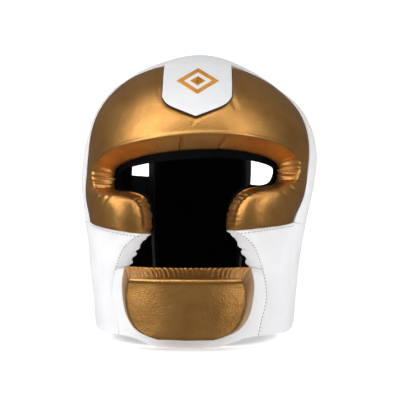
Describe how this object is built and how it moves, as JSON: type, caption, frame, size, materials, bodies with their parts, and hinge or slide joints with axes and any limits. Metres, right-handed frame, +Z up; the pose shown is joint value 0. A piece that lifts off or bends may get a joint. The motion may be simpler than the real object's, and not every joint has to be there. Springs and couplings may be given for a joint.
{
  "type": "boxing headgear",
  "caption": "Full-face padded boxing headgear: gold brow, cheek and chin pads, white crown, side and jaw pads, black lining, and a strap that closes the back.",
  "frame": {"origin": "on the surface that the headgear stands on, under the middle of its box", "axes": "+Z up; the face opening looks along -Y; +X is the wearer's left"},
  "size_m": [0.2256, 0.2566, 0.269],
  "materials": {
    "gold_leather": "metallic satin",
    "white_leather": "soft sheen",
    "black_lining": "matt",
    "black_strap": "matt webbing"
  },
  "bodies": {
    "root": {"brow_and_cheek_pad": "gold_leather", "forehead_shield": "white_leather", "crown_pad": "white_leather", "ear_pad_left": "white_leather", "ear_pad_right": "white_leather", "jaw_pad_left": "white_leather", "jaw_pad_right": "white_leather", "neck_pad_left": "white_leather", "neck_pad_right": "white_leather", "rear_pad": "white_leather", "chin_bar": "white_leather", "chin_pad": "gold_leather", "rear_strap": "black_strap", "brow_lining": "black_lining", "crown_lining": "black_lining", "ear_lining_left": "black_lining", "ear_lining_right": "black_lining", "jaw_lining_left": "black_lining", "jaw_lining_right": "black_lining", "neck_lining_left": "black_lining", "neck_lining_right": "black_lining", "rear_lining": "black_lining", "chin_lining": "black_lining"}
  },
  "joints": []
}
